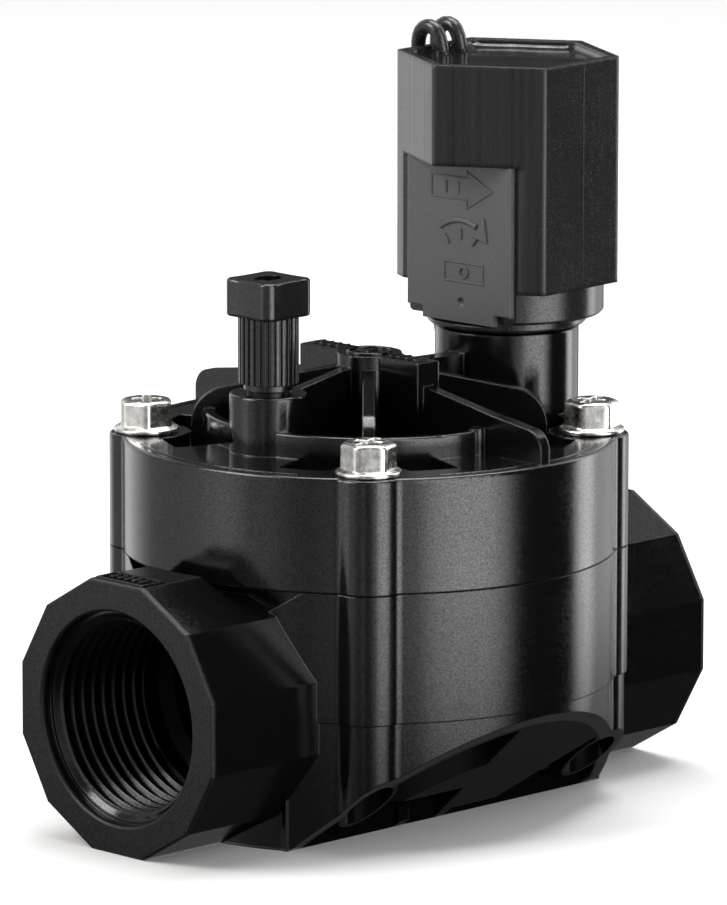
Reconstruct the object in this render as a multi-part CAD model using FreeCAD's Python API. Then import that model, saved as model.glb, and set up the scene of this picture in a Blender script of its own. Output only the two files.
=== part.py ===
import FreeCAD, Part
import math
import os

# Solenoid valve, 1 inch, globe pattern. Millimetres.
# +X is the flow direction (inlet at -X), +Z is up, and the origin is on the floor under the body's centre.

V = FreeCAD.Vector
UP = V(0, 0, 1)
ALONG = V(1, 0, 0)

# ---- overall ----
PORT_END = 55.5            # port faces stand at X = -PORT_END and +PORT_END
PORT_SIDES = 12
PORT_CORNER_R = 22.37      # circumradius of the twelve-sided port
PORT_Z = PORT_CORNER_R * math.cos(math.pi / PORT_SIDES)   # port axis: its lowest flat rests on the floor
PARTING_Z = 41.4           # where the bonnet meets the body
DECK_Z = 59.74             # bonnet deck, where the screw washers sit
CAN_TOP_Z = 117.2
DRUM_R = 39.4              # body drum and bonnet skirt
EAR_R = 5.9                # screw ears around the drum
SCREW_TURNS = (19, 48, 20, 25)  # how far each bonnet screw is turned, in degrees
EAR_FILLET = 2.2
EAR_CORE_R = 3.9           # the ears are cored out from below
EAR_CORE_TOP = 17.0
SEAM_ROUND = 0.25          # bonnet's lower outer edge, beside the parting line
BOLT_XY = 25.04            # screws at (+-BOLT_XY, +-BOLT_XY)

# ---- ports ----
THREAD_PITCH = 25.4 / 11.5
THREAD_CREST_R = 15.15
THREAD_ROOT_R = 16.5
THREAD_TURNS = 8
THREAD_START = 3.3         # first thread groove, from the port face
PLAIN_LAND = 2.5           # unthreaded bore behind the last groove
COUNTERBORE_R = 17.0
COUNTERBORE_DEPTH = 2.0
FLOW_R = 12.8              # inlet passage
OUTLET_R = 11.0            # outlet passage

# ---- body ----
WALL = 2.8
CHAMBER_R = 26.0
POT_R = 29.0               # outside of the flow chamber
POT_Z = 6.0
CHAMBER_Z = 12.0           # floor of the flow chamber
SEAT_IN_R = 11.2
SEAT_OUT_R = 13.6
SEAT_Z = 34.9
STEP_Z = 20.9              # the drum is a little smaller below this line
STEP_IN = 0.45
FLANGE_Z = 36.6            # underside of the body's top flange
WEB_Y = 17.3               # outer face of the base webs
HULL_SLOPE = 0.906         # the underside rises outwards from the webs at this slope
SHOULDER = ((0.0, 39.8), (9.0, 39.8), (14.0, 37.7), (19.5, 41.41), (19.5, 45.0))   # (y, z) above each port
SHOULDER_IN_R = 37.0
SKIRT_CLEAR_R = 43.0       # the port's top is cut back to this radius around the skirt
EXHAUST_X = 34.3           # exhaust passage across the parting face, outside the bead

# ---- diaphragm ----
BEAD_IN_R, BEAD_OUT_R = 28.4, 31.4
BEAD_HALF = 1.5
WEB_HALF = 0.6             # half the thickness of the clamped sheet
DISC_R = 17.6
WASHER_R = 14.6
WASHER_Z = 35.0
DISC_Z = 36.8
SUPPORT_Z = 38.4
SUPPORT_TOP = 41.4
DIAPHRAGM_LIFT = 5.0
SPRING_R = 10.4
SPRING_WIRE_R = 0.55
SPRING_TURNS = 5

# ---- bonnet ----
ROOF_Z = 54.0              # ceiling of the control chamber
WELL_Z = 57.4              # floor between the ribs, inside the ring wall
POCKET_Z = 57.1
RING_R = 26.3
RING_T = 1.9
RING_TOP = 63.6
POCKET_R = 30.6
BAR_LEN, BAR_T, BAR_TOP = 26.4, 4.8, 72.6
HUB_R = 5.2
RIB_T = 2.0
BLEED_X = -22.3
BLEED_BOSS_R = 6.2
BLEED_BOSS_TOP = 69.0
BLEED_BORE_R = 3.5
SOL_X = 31.3               # solenoid axis
SOL_BOSS_R = 11.6
SOL_BOSS_TOP = 73.4
SOL_BOSS_Z = 45.6
SOL_BORE_R = 9.4
SOL_BORE_Z = 60.4
NOZZLE_TOP = 63.0

# ---- screws ----
WASHER_HEAD_R = 5.2
HEX_AF = 8.0
HEAD_H = 5.2
SHANK_R = 2.4
SHANK_LEN = 34.0

# ---- bleed screw ----
GRIP_Z, HEAD_Z, HEAD_TOP = 70.6, 81.2, 87.2
GRIP_R = 4.8
GRIP_RIBS = 28
HEAD_SIDE = 10.9
HEAD_CORNER = 1.7
HEAD_DIP = 0.5
BLEED_TIP_Z = 59.4

# ---- solenoid ----
CAN_R = 18.15              # circumradius of the hexagonal can
CAN_TURN = 3.3             # degrees from +X to the can's first corner
CAN_Z = 80.6
CAN_WALL = 1.7
POTTING_TOP = CAN_TOP_Z - 1.3
PANEL_AT = 12.0            # label panel's distance from the axis
PANEL_TOP = 101.0
PANEL_Z = 76.8
PANEL_HALF = 10.9
TAB_Z = 75.0
TAB_HALF = 7.5
COLLAR_R, COLLAR_Z = 15.6, 75.5
LOWER_R, LOWER_Z = 12.8, 73.8
SPIGOT_R, SPIGOT_Z = 9.3, 62.6
TUBE_R = 4.0
TUBE_IN_R = 3.65
PLUNGER_R = 3.5
PLUNGER_LIFT = 1.3

# ---- leads ----
LEAD_R = 1.2
LEAD_X = (28.6, 33.1)
LEAD_SPLIT_Z = 98.0        # above this the leads turn with the solenoid
COIL_X, COIL_Y = 39.2, 45.6
COIL_IN_R, COIL_OUT_R = 10.6, 15.4
COIL_ROWS = 3
TIP_R, TIP_LEN = 0.55, 8.0


def rod(r, z0, z1, x=0.0, y=0.0):
    return Part.makeCylinder(r, z1 - z0, V(x, y, z0))


def ring(r_out, r_in, z0, z1, x=0.0, y=0.0):
    return rod(r_out, z0, z1, x, y).cut(rod(r_in, z0, z1, x, y))


def rod_x(r, x0, x1, z=PORT_Z):
    return Part.makeCylinder(r, x1 - x0, V(x0, 0, z), ALONG)


def block(x0, x1, y0, y1, z0, z1):
    return Part.makeBox(x1 - x0, y1 - y0, z1 - z0, V(x0, y0, z0))


def prism(points, along):
    """A straight prism from a flat outline of 3-D points."""
    return Part.Face(Part.makePolygon(points + [points[0]])).extrude(along)


def turned(profile, x=0.0, y=0.0):
    """A solid turned about a vertical axis from (radius, z) points."""
    points = [V(x + r, y, z) for r, z in profile]
    return Part.Face(Part.makePolygon(points + [points[0]])).revolve(V(x, y, 0), UP, 360)


def turned_x(profile):
    """A solid turned about the port axis from (x, radius) points."""
    points = [V(x, 0, PORT_Z + r) for x, r in profile]
    return Part.Face(Part.makePolygon(points + [points[0]])).revolve(V(0, 0, PORT_Z), ALONG, 360)


def polygon_ring(sides, r, phase, x=0.0, y=0.0, z=0.0):
    """Corners of a regular polygon around a vertical axis, the first at phase degrees."""
    angles = [math.radians(phase + 360.0 * i / sides) for i in range(sides)]
    return [V(x + r * math.cos(a), y + r * math.sin(a), z) for a in angles]


def join(*shapes):
    return shapes[0].multiFuse(list(shapes[1:])).removeSplitter()


def both_sides(shape, normal):
    return [shape, shape.mirror(V(0, 0, 0), normal)]


def bolt_places():
    return [(sx * BOLT_XY, sy * BOLT_XY) for sx in (-1, 1) for sy in (-1, 1)]


def drum(z0, z1, smaller=0.0):
    """The drum with its four screw ears, their inside corners filled to a radius."""
    ears = [rod(EAR_R - smaller, z0, z1, x, y) for x, y in bolt_places()]
    shape = rod(DRUM_R - smaller, z0, z1).multiFuse(ears).removeSplitter()
    return rounded(shape, EAR_FILLET, lambda e: e.BoundBox.ZLength > 1 and is_ear_corner(e, smaller))


def is_ear_corner(edge, smaller):
    """Whether an upright edge is where an ear meets the drum."""
    at = edge.Vertexes[0].Point
    from_ear = min(math.hypot(at.x - x, at.y - y) for x, y in bolt_places())
    on_drum = abs(math.hypot(at.x, at.y) - DRUM_R + smaller) < 0.01
    return on_drum and abs(from_ear - EAR_R + smaller) < 0.01


def rounded(shape, radius, wanted):
    """Fillets the edges for which wanted(edge) is true."""
    return shape.makeFillet(radius, [e for e in shape.Edges if wanted(e)])


# ---------------------------------------------------------------- valve body

def port_prism():
    """The twelve-sided port, from its face to inside the drum."""
    turn = math.pi / PORT_SIDES
    points = []
    for i in range(PORT_SIDES):
        a = turn + 2 * turn * i
        points.append(V(-PORT_END, PORT_CORNER_R * math.sin(a), PORT_Z + PORT_CORNER_R * math.cos(a)))
    port = prism(points, V(PORT_END - CHAMBER_R, 0, 0))
    return rounded(port, 0.35, lambda e: e.BoundBox.XMax < -PORT_END + 0.01)


def port_bore():
    """Everything removed from a port: mouth, counterbore, thread grooves and the run to the passage."""
    face = -PORT_END
    profile = [(face - 1, 0), (face - 1, COUNTERBORE_R + 1.3), (face + 0.3, COUNTERBORE_R),
               (face + COUNTERBORE_DEPTH, COUNTERBORE_R), (face + COUNTERBORE_DEPTH, THREAD_ROOT_R - 0.1),
               (face + COUNTERBORE_DEPTH + 0.7, THREAD_CREST_R + 0.5), (face + THREAD_START - 0.4, THREAD_CREST_R)]
    groove = THREAD_PITCH - 0.4
    for i in range(THREAD_TURNS):
        x = face + THREAD_START + i * THREAD_PITCH
        profile += [(x, THREAD_CREST_R), (x + 0.42 * groove, THREAD_ROOT_R),
                    (x + 0.58 * groove, THREAD_ROOT_R), (x + groove, THREAD_CREST_R)]
    end = face + THREAD_START + THREAD_TURNS * THREAD_PITCH
    stop = end + PLAIN_LAND + 1.4
    profile += [(end + PLAIN_LAND, THREAD_CREST_R), (stop, FLOW_R), (stop, 0)]
    return turned_x(profile), stop


def hull_cut():
    """The wedge under the sloping underside on the -Y side."""
    far = 60.0
    points = [V(-far, -WEB_Y, 0), V(-far, -far, HULL_SLOPE * (far - WEB_Y)), V(-far, -far, -1), V(-far, -WEB_Y, -1)]
    return prism(points, V(2 * far, 0, 0))


def shoulder_cut():
    """Room above each port for the bonnet skirt, with sloping shoulders."""
    points = [V(0, y, z) for y, z in SHOULDER] + [V(0, -y, z) for y, z in reversed(SHOULDER[1:])]
    slot = prism(points, V(-PORT_END, 0, 0)).common(rod(SKIRT_CLEAR_R, 0, 60))
    return slot.cut(rod(SHOULDER_IN_R, 0, 60))


def underside(side):
    """Base web, cross ribs and the flat panel in the sloping underside, on one side."""
    web = block(-35.2, 35.2, side * WEB_Y - 1.25, side * WEB_Y + 1.25, 0, POT_Z + 3)
    web.translate(V(0, -side * 1.25, 0))
    pieces = [web]
    for x, out, top in ((-10.5, 1.2, POT_Z + 2), (-1.6, 20.5, POT_Z + 12), (32.0, 1.2, POT_Z + 2)):
        y0, y1 = sorted((side * (WEB_Y - 2.0), side * (WEB_Y + out)))
        pieces.append(block(x - 1.1, x + 1.1, y0, y1, 0, top))
    panel = prism([V(-1.6, side * 19.0, 0), V(9.5, side * 19.0, 0), V(24.5, side * 33.0, 0), V(-1.6, side * 38.0, 0)],
                  V(0, 0, 30))
    top = prism([V(-60, side * (WEB_Y - 3.0), 0), V(-60, side * 60, HULL_SLOPE * (63 - WEB_Y)), V(-60, side * 60, -1),
                 V(-60, side * (WEB_Y - 3.0), -1)], V(120, 0, 0))
    pieces.append(panel.common(top).common(rod(DRUM_R - WALL + 0.2, 0, 40)))
    return pieces


def make_body():
    shell = drum(STEP_Z, PARTING_Z).fuse(drum(0, STEP_Z, STEP_IN))
    ports = both_sides(port_prism(), ALONG)
    columns = [rod(4.6, 0, FLANGE_Z, x, y) for x, y in bolt_places()]
    hollow = rod(DRUM_R - WALL, -1, FLANGE_Z).cut(rod(POT_R, POT_Z, FLANGE_Z + 1))
    for column in columns:
        hollow = hollow.cut(column)
    body = shell.cut(hollow)
    pieces = ports[:]
    for side in (-1, 1):
        pieces += underside(side)
        pieces.append(block(side * 34.2 - 1.2, side * 34.2 + 1.2, -WEB_Y, WEB_Y, 0, POT_Z + 3))
    pieces += [block(x - 1.1, x + 1.1, -WEB_Y + 1, WEB_Y - 1, 0.4, POT_Z + 1) for x in (-22.0, 0.0, 22.0)]
    body = join(body, *pieces)
    for wedge in both_sides(hull_cut(), V(0, 1, 0)):
        body = body.cut(wedge)
    bore, bore_end = port_bore()
    riser = ring(SEAT_OUT_R, SEAT_IN_R, POT_Z + 1, SEAT_Z)
    outlet_tube = rod_x(OUTLET_R + 2.2, SEAT_IN_R - 1.0, POT_R - 1)
    chamber = rod(CHAMBER_R, CHAMBER_Z, PARTING_Z + 1).cut(join(riser, outlet_tube))
    inlet = rod_x(FLOW_R, bore_end - 0.1, -SEAT_OUT_R + 2).cut(rod(SEAT_OUT_R, 0, SEAT_Z))
    outlet = rod_x(OUTLET_R, 4, -bore_end + 0.1).fuse(rod(SEAT_IN_R, PORT_Z - OUTLET_R, SEAT_Z + 5))
    above = rod(SKIRT_CLEAR_R, PARTING_Z, PARTING_Z + 10)
    for tool in both_sides(bore, ALONG) + both_sides(shoulder_cut(), ALONG) + [above, chamber, inlet, outlet]:
        body = body.cut(tool)
    body = body.cut(ring(BEAD_OUT_R, BEAD_IN_R, PARTING_Z - BEAD_HALF, PARTING_Z + 1))
    body = body.cut(rod(BEAD_IN_R + 0.1, PARTING_Z - WEB_HALF, PARTING_Z + 1))
    for x, y in bolt_places():
        body = body.cut(rod(SHANK_R + 0.1, DECK_Z - SHANK_LEN - 2, PARTING_Z + 1, x, y))
        body = body.cut(rod(EAR_CORE_R, -1, EAR_CORE_TOP, x, y))
    return body.cut(rod(1.2, PORT_Z + FLOW_R, PARTING_Z + 1, EXHAUST_X, 0))


# ---------------------------------------------------------------- bonnet

def rib(profile, thickness, angle, round_r=0.0):
    """An upright rib standing out from the axis, from (radius, z) points; the outer top corner is rounded."""
    points = [V(r, -thickness / 2, z) for r, z in profile]
    shape = prism(points, V(0, thickness, 0))
    if round_r:
        r_end, z_end = profile[-2]
        shape = rounded(shape, round_r, lambda e: abs(e.BoundBox.XMin - r_end) < 0.01
                        and abs(e.BoundBox.XMax - r_end) < 0.01 and abs(e.BoundBox.ZMin - z_end) < 0.01
                        and abs(e.BoundBox.ZMax - z_end) < 0.01)
    shape.rotate(V(0, 0, 0), UP, angle)
    return shape


def sector(r, half_angle, angle, z0, z1):
    """A wedge of a disc, centred on the given direction."""
    a = math.radians(half_angle)
    shape = prism([V(0, 0, z0), V(r, -r * math.tan(a), z0), V(r, r * math.tan(a), z0)], V(0, 0, z1 - z0))
    shape.rotate(V(0, 0, 0), UP, angle)
    return shape


def bonnet_ribs():
    foot = WELL_Z - 1.0
    pieces = []
    for angle in (45, 135, 225, 315):
        diagonal = [(3.0, foot), (3.0, 70.9), (28.3, 65.9), (28.3, foot)]
        pieces.append(rib(diagonal, RIB_T, angle, 6.0))
    for angle in (90, 270):
        pieces.append(rib([(12.0, foot), (12.0, 69.0), (28.8, 66.1), (38.9, 64.7), (38.9, foot)], RIB_T, angle, 3.3))
    pieces.append(rib([(4.0, foot), (4.0, 70.9), (17.0, 68.6), (17.0, foot)], RIB_T, 180))
    pieces.append(rib([(2.0, foot), (2.0, 70.3), (21.0, 69.8), (21.0, foot)], 3.3, 0))
    bar = block(-BAR_T / 2, BAR_T / 2, -BAR_LEN / 2, BAR_LEN / 2, foot, BAR_TOP)
    pieces.append(rounded(bar, 0.3, lambda e: e.BoundBox.ZMin > BAR_TOP - 0.01))
    pieces.append(rod(HUB_R, foot, BAR_TOP - 0.02))
    pieces.append(rod(8.0, foot, WELL_Z + 0.9))
    return pieces


def ring_wall():
    """The low curved wall on the inlet half, with a round bead at each end."""
    wall = ring(RING_R, RING_R - RING_T, POCKET_Z - 0.5, RING_TOP).common(block(-40, -1.0, -40, 40, 0, 90))
    wall = rounded(wall, 0.4, lambda e: e.BoundBox.ZMin > RING_TOP - 0.01 and e.Length > 10)
    beads = [rod(1.35, POCKET_Z - 0.5, RING_TOP + 0.3, -1.4, side * (RING_R - RING_T / 2)) for side in (-1, 1)]
    return [wall] + beads


def make_bonnet():
    lid = rounded(drum(PARTING_Z, DECK_Z), 0.6, lambda e: e.BoundBox.ZMin > DECK_Z - 0.01)
    lid = rounded(lid, SEAM_ROUND, lambda e: e.BoundBox.ZMax < PARTING_Z + 0.01)
    lid = lid.cut(rod(RING_R - RING_T, WELL_Z, DECK_Z + 1))
    lid = lid.cut(ring(RING_R, RING_R - RING_T - 1, WELL_Z, DECK_Z + 1).common(block(-1, 60, -60, 60, 0, 90)))
    for x, y in bolt_places():
        angle = math.degrees(math.atan2(y, x))
        pocket = ring(33.4, RING_R - 0.01, POCKET_Z, DECK_Z + 1).common(sector(40, 25, angle, 0, 90))
        pocket = pocket.cut(rod(EAR_R + 1.0, 0, 90, x, y))
        lid = lid.cut(pocket)
    boss = rod(SOL_BOSS_R, SOL_BOSS_Z, SOL_BOSS_TOP, SOL_X, 0)
    boss = rounded(boss, 0.5, lambda e: e.BoundBox.ZMin > SOL_BOSS_TOP - 0.01)
    bleed = rod(BLEED_BOSS_R, POCKET_Z - 0.5, BLEED_BOSS_TOP, BLEED_X, 0)
    bleed = rounded(bleed, 0.5, lambda e: e.BoundBox.ZMin > BLEED_BOSS_TOP - 0.01)
    bonnet = lid.multiFuse(bonnet_ribs() + ring_wall() + [boss, bleed])
    core = ring(DRUM_R - WALL, 33.2, PARTING_Z - 1, DECK_Z - 3).cut(block(20, 60, -16, 16, 0, 90))
    for x, y in bolt_places():
        core = core.cut(rod(4.8, 0, 90, x, y))
    tools = [core, rod(CHAMBER_R, PARTING_Z - 1, ROOF_Z), rod(BEAD_IN_R + 0.1, PARTING_Z - 1, PARTING_Z + WEB_HALF),
             ring(BEAD_OUT_R, BEAD_IN_R, PARTING_Z - 1, PARTING_Z + BEAD_HALF),
             rod(SOL_BORE_R, SOL_BORE_Z, SOL_BOSS_TOP + 1, SOL_X, 0).cut(rod(2.4, 0, NOZZLE_TOP, SOL_X, 0)),
             rod(0.9, 48.0, NOZZLE_TOP + 1, SOL_X, 0), block(SOL_X, EXHAUST_X, -0.9, 0.9, 48.0, 49.8),
             rod(1.2, PARTING_Z - 1, 49.8, EXHAUST_X, 0), rod(0.8, ROOF_Z - 1, SOL_BORE_Z + 1, SOL_X - 7.0, 0),
             rod(BLEED_BORE_R, BLEED_TIP_Z, BLEED_BOSS_TOP + 1, BLEED_X, 0),
             rod(0.9, ROOF_Z - 1, BLEED_TIP_Z + 1, BLEED_X, 0)]
    tools += [rod(2.7, PARTING_Z - 1, DECK_Z + 1, x, y) for x, y in bolt_places()]
    for tool in tools:
        bonnet = bonnet.cut(tool)
    return bonnet.removeSplitter()


# ---------------------------------------------------------------- bonnet screws

def make_screw():
    """A washer-head hexagon screw with a combination recess, its seat at z = 0."""
    washer = turned([(0, 0), (WASHER_HEAD_R - 0.3, 0), (WASHER_HEAD_R, 0.3), (WASHER_HEAD_R, 0.6), (4.5, 1.15), (0, 1.15)])
    hexagon = prism(polygon_ring(6, HEX_AF / 2 / math.cos(math.pi / 6), 0, z=0.8), V(0, 0, HEAD_H - 0.8))
    dome = turned([(0, 0), (5.2, 0), (5.2, HEAD_H - 1.0), (3.9, HEAD_H), (0, HEAD_H)])
    head = washer.fuse(hexagon.common(dome))
    for x, y in ((HEX_AF, 0.55), (0.5, 2.2)):
        head = head.cut(block(-x, x, -y, y, HEAD_H - 1.3, HEAD_H + 1))
    profile = [(0, 1), (SHANK_R - 0.2, 1), (SHANK_R - 0.2, -14.0)]
    pitch = 1.5
    for i in range(12):
        z = -14.0 - i * pitch
        profile += [(SHANK_R - 0.5, z), (SHANK_R, z - 0.6), (SHANK_R, z - 0.8), (SHANK_R - 0.5, z - 1.4)]
    profile += [(1.2, -SHANK_LEN), (0, -SHANK_LEN)]
    return head.fuse(turned(profile)).removeSplitter()


def make_screws():
    screws = []
    for (x, y), turn in zip(bolt_places(), SCREW_TURNS):
        screw = make_screw()
        screw.rotate(V(0, 0, 0), UP, turn)
        screw.translate(V(x, y, DECK_Z))
        screws.append(screw)
    return Part.makeCompound(screws)


# ---------------------------------------------------------------- diaphragm group

def make_diaphragm():
    """Clamped bead, thin sheet with one convolution, and the thicker centre disc."""
    z = PARTING_Z
    return turned([
        (2.2, DISC_Z), (18.2, DISC_Z), (19.4, 37.8), (20.2, 41.6), (21.4, 43.4), (22.8, 43.6), (24.0, 42.4),
        (24.6, z - WEB_HALF), (BEAD_IN_R + 0.1, z - WEB_HALF), (BEAD_IN_R + 0.1, z - BEAD_HALF),
        (BEAD_OUT_R - 0.05, z - BEAD_HALF), (BEAD_OUT_R - 0.05, z + BEAD_HALF), (BEAD_IN_R + 0.1, z + BEAD_HALF),
        (BEAD_IN_R + 0.1, z + WEB_HALF), (25.4, z + WEB_HALF), (24.9, 43.4), (23.2, 44.9), (21.0, 44.7),
        (19.1, 42.4), (18.0, SUPPORT_Z), (2.2, SUPPORT_Z)])


def make_seat_washer():
    return ring(WASHER_R, 2.2, WASHER_Z, DISC_Z)


def make_support():
    plate = turned([(2.2, SUPPORT_Z), (DISC_R, SUPPORT_Z), (DISC_R, SUPPORT_Z + 1.2), (12.6, SUPPORT_Z + 1.6),
                    (12.6, SUPPORT_TOP), (12.0, SUPPORT_TOP), (12.0, SUPPORT_Z + 2.0), (9.2, SUPPORT_Z + 2.0),
                    (9.2, SUPPORT_TOP), (2.2, SUPPORT_TOP)])
    ribs = [block(12.3, DISC_R - 0.8, -0.5, 0.5, SUPPORT_Z + 1.0, SUPPORT_TOP - 0.5) for _ in range(12)]
    for i, one in enumerate(ribs):
        one.rotate(V(0, 0, 0), UP, 30.0 * i)
    return join(plate, *ribs)


def make_retainer():
    """Disc under the seat washer, with fins that guide it in the seat riser."""
    disc = turned([(2.2, 33.0), (9.6, 33.0), (10.4, 33.8), (10.4, WASHER_Z), (2.2, WASHER_Z)])
    fins = [block(3.4, SEAT_IN_R - 0.6, -0.7, 0.7, 26.5, 33.4) for _ in range(4)]
    for i, one in enumerate(fins):
        one.rotate(V(0, 0, 0), UP, 45 + 90.0 * i)
    return join(disc, ring(4.6, 2.2, 26.5, 33.4), *fins)


def make_diaphragm_screw():
    head = turned([(0, SUPPORT_TOP), (4.2, SUPPORT_TOP), (4.2, SUPPORT_TOP + 1.4), (3.2, SUPPORT_TOP + 2.4),
                   (0, SUPPORT_TOP + 2.4)])
    for angle in (0, 90):
        slot = block(-2.2, 2.2, -0.4, 0.4, SUPPORT_TOP + 1.1, SUPPORT_TOP + 3)
        slot.rotate(V(0, 0, 0), UP, angle)
        head = head.cut(slot)
    return join(head, rod(2.15, 25.6, SUPPORT_TOP + 0.1))


def make_filter():
    """Fine filter ring under the diaphragm, outside the seat."""
    body = ring(17.4, 15.2, 35.2, DISC_Z)
    for i in range(24):
        slot = block(14.0, 18.5, -0.35, 0.35, 35.6, 36.4)
        slot.rotate(V(0, 0, 0), UP, 15.0 * i)
        body = body.cut(slot)
    return body


def coil_spring(r, wire, z0, z1, turns, x=0.0, y=0.0):
    """An open coil of round wire between two heights, wire centres inside them."""
    height = z1 - z0 - 2 * wire
    path = Part.Wire(Part.makeHelix(height / turns, height, r).Edges)
    section = Part.Wire([Part.makeCircle(wire, V(r, 0, 0), V(0, 1, 0))])
    shape = path.makePipeShell([section], True, True)
    shape.translate(V(x, y, z0 + wire))
    return shape


def make_diaphragm_spring():
    return coil_spring(SPRING_R, SPRING_WIRE_R, SUPPORT_Z + 2.05, ROOF_Z - 0.05, SPRING_TURNS)


# ---------------------------------------------------------------- bleed screw

def make_bleed_screw():
    points = []
    step = 2 * math.pi / GRIP_RIBS
    for i in range(GRIP_RIBS):
        for share, r in ((-0.30, GRIP_R), (0.22, GRIP_R), (0.30, GRIP_R - 0.45), (0.62, GRIP_R - 0.45)):
            a = step * (i + share)
            points.append(V(BLEED_X + r * math.cos(a), r * math.sin(a), GRIP_Z))
    grip = prism(points, V(0, 0, HEAD_Z - GRIP_Z + 0.1))
    neck = turned([(0, BLEED_TIP_Z + 0.3), (1.2, BLEED_TIP_Z + 0.3), (3.3, BLEED_TIP_Z + 1.6), (3.4, 64.0), (2.5, 64.2),
                   (2.5, 65.8), (3.4, 66.0), (3.4, BLEED_BOSS_TOP + 0.4), (3.9, BLEED_BOSS_TOP + 0.5),
                   (3.9, GRIP_Z + 0.2), (0, GRIP_Z + 0.2)], BLEED_X, 0)
    half = HEAD_SIDE / 2
    corners = [V(BLEED_X - half, -half, HEAD_Z), V(BLEED_X + half, -half, HEAD_Z),
               V(BLEED_X + half, half, HEAD_Z), V(BLEED_X - half, half, HEAD_Z)]
    centre = V(BLEED_X, 0, HEAD_Z)
    sides = []
    for a, b in zip(corners, corners[1:] + corners[:1]):
        middle = (a + b) / 2
        middle = middle + (centre - middle).normalize() * HEAD_DIP
        sides.append(Part.Arc(a, middle, b).toShape())
    head = Part.Face(Part.Wire(sides)).extrude(V(0, 0, HEAD_TOP - HEAD_Z))
    head = rounded(head, HEAD_CORNER, lambda e: e.BoundBox.ZLength > 1 and e.BoundBox.XLength < 0.01)
    head = rounded(head, 0.5, lambda e: e.BoundBox.ZLength < 0.01)
    head = head.cut(block(BLEED_X - 2.0, BLEED_X + 2.0, -2.0, 2.0, HEAD_TOP - 2.4, HEAD_TOP + 1))
    head = head.cut(block(BLEED_X - 3.2, BLEED_X + 3.2, -0.6, 0.6, HEAD_TOP - 1.4, HEAD_TOP + 1))
    return join(grip, neck, head)


def o_ring(major, minor, z, x):
    return Part.makeTorus(major, minor, V(x, 0, z), UP)


# ---------------------------------------------------------------- solenoid

def panel_frame(shape):
    """Places a shape made with the label panel facing +X, about the solenoid's axis."""
    shape.rotate(V(0, 0, 0), UP, 180 + CAN_TURN)
    shape.translate(V(SOL_X, 0, 0))
    return shape


def hexagon(r, z0, z1):
    return prism(polygon_ring(6, r, CAN_TURN, SOL_X, 0, z0), V(0, 0, z1 - z0))


def in_front(distance, z0, z1):
    """Everything beyond the label panel's plane, between two heights."""
    return panel_frame(block(distance, 60, -60, 60, z0, z1))


def make_can():
    outer = hexagon(CAN_R, CAN_Z, CAN_TOP_Z)
    outer = rounded(outer, 0.5, lambda e: e.BoundBox.ZLength > 1)
    inner_r = CAN_R - CAN_WALL / math.cos(math.pi / 6)
    outer = outer.cut(in_front(PANEL_AT - 1.2, CAN_Z - 1, PANEL_TOP))
    inner = hexagon(inner_r, CAN_Z + 1.4, CAN_TOP_Z + 1).cut(in_front(PANEL_AT - 2.6, CAN_Z, PANEL_TOP + 1.6))
    return outer.cut(inner).cut(rod(TUBE_R + 0.05, CAN_Z - 1, CAN_Z + 3, SOL_X, 0)).removeSplitter()


def make_panel():
    plate = block(PANEL_AT - 1.2, PANEL_AT, -PANEL_HALF, PANEL_HALF, PANEL_Z, PANEL_TOP)
    plate = rounded(plate, 0.25, lambda e: e.BoundBox.XMin > PANEL_AT - 0.01)
    tab = block(PANEL_AT - 1.2, PANEL_AT, -TAB_HALF, TAB_HALF, TAB_Z, PANEL_Z + 0.5)
    dimple = Part.makeSphere(0.9, V(PANEL_AT + 0.35, 0.6, 78.2))
    corner = hexagon(CAN_R + 0.01, TAB_Z - 1, PANEL_TOP + 1)
    return panel_frame(join(plate, tab).cut(dimple)).common(corner).removeSplitter()


def make_potting():
    inner_r = CAN_R - CAN_WALL / math.cos(math.pi / 6)
    fill = hexagon(inner_r - 0.01, CAN_Z + 1.4, POTTING_TOP).cut(in_front(PANEL_AT - 2.61, CAN_Z, PANEL_TOP + 1.61))
    fill = fill.cut(rod(8.9, CAN_Z, 112.0, SOL_X, 0))
    for x in LEAD_X:
        fill = fill.cut(rod(LEAD_R + 0.01, 113.0, CAN_TOP_Z, x, lead_start_y(x)))
    return fill


def make_collar():
    profile = [(TUBE_R + 0.05, SPIGOT_Z + 1.2), (TUBE_R + 0.05, CAN_Z), (COLLAR_R, CAN_Z), (COLLAR_R, COLLAR_Z + 0.4),
               (COLLAR_R - 0.4, COLLAR_Z), (LOWER_R, COLLAR_Z), (LOWER_R, LOWER_Z + 0.3), (LOWER_R - 0.3, LOWER_Z),
               (SPIGOT_R, LOWER_Z), (SPIGOT_R, 67.6), (SPIGOT_R - 1.2, 67.4), (SPIGOT_R - 1.2, 65.0), (SPIGOT_R, 64.8),
               (SPIGOT_R, SPIGOT_Z + 0.4), (SPIGOT_R - 0.4, SPIGOT_Z), (5.2, SPIGOT_Z), (5.2, SPIGOT_Z + 1.2)]
    return turned(profile, SOL_X, 0).cut(in_front(PANEL_AT - 1.21, TAB_Z - 0.3, CAN_Z + 1))


def make_core_tube():
    return turned([(TUBE_IN_R, SPIGOT_Z + 0.2), (5.1, SPIGOT_Z + 0.2), (5.1, SPIGOT_Z + 1.15), (TUBE_R, SPIGOT_Z + 1.15),
                   (TUBE_R, 110.6), (0, 110.6), (0, 110.0), (TUBE_IN_R, 110.0)], SOL_X, 0)


def make_pole_piece():
    return rod(TUBE_IN_R - 0.02, 92.0, 109.95, SOL_X, 0).cut(ring(2.7, 2.0, 91, 93.0, SOL_X, 0))


def make_shading_ring():
    return ring(2.65, 2.05, 92.05, 92.95, SOL_X, 0)


def make_bobbin():
    return turned([(4.05, 82.9), (8.6, 82.9), (8.6, 83.9), (5.0, 83.9), (5.0, 108.6), (8.6, 108.6), (8.6, 109.6),
                   (4.05, 109.6)], SOL_X, 0)


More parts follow.
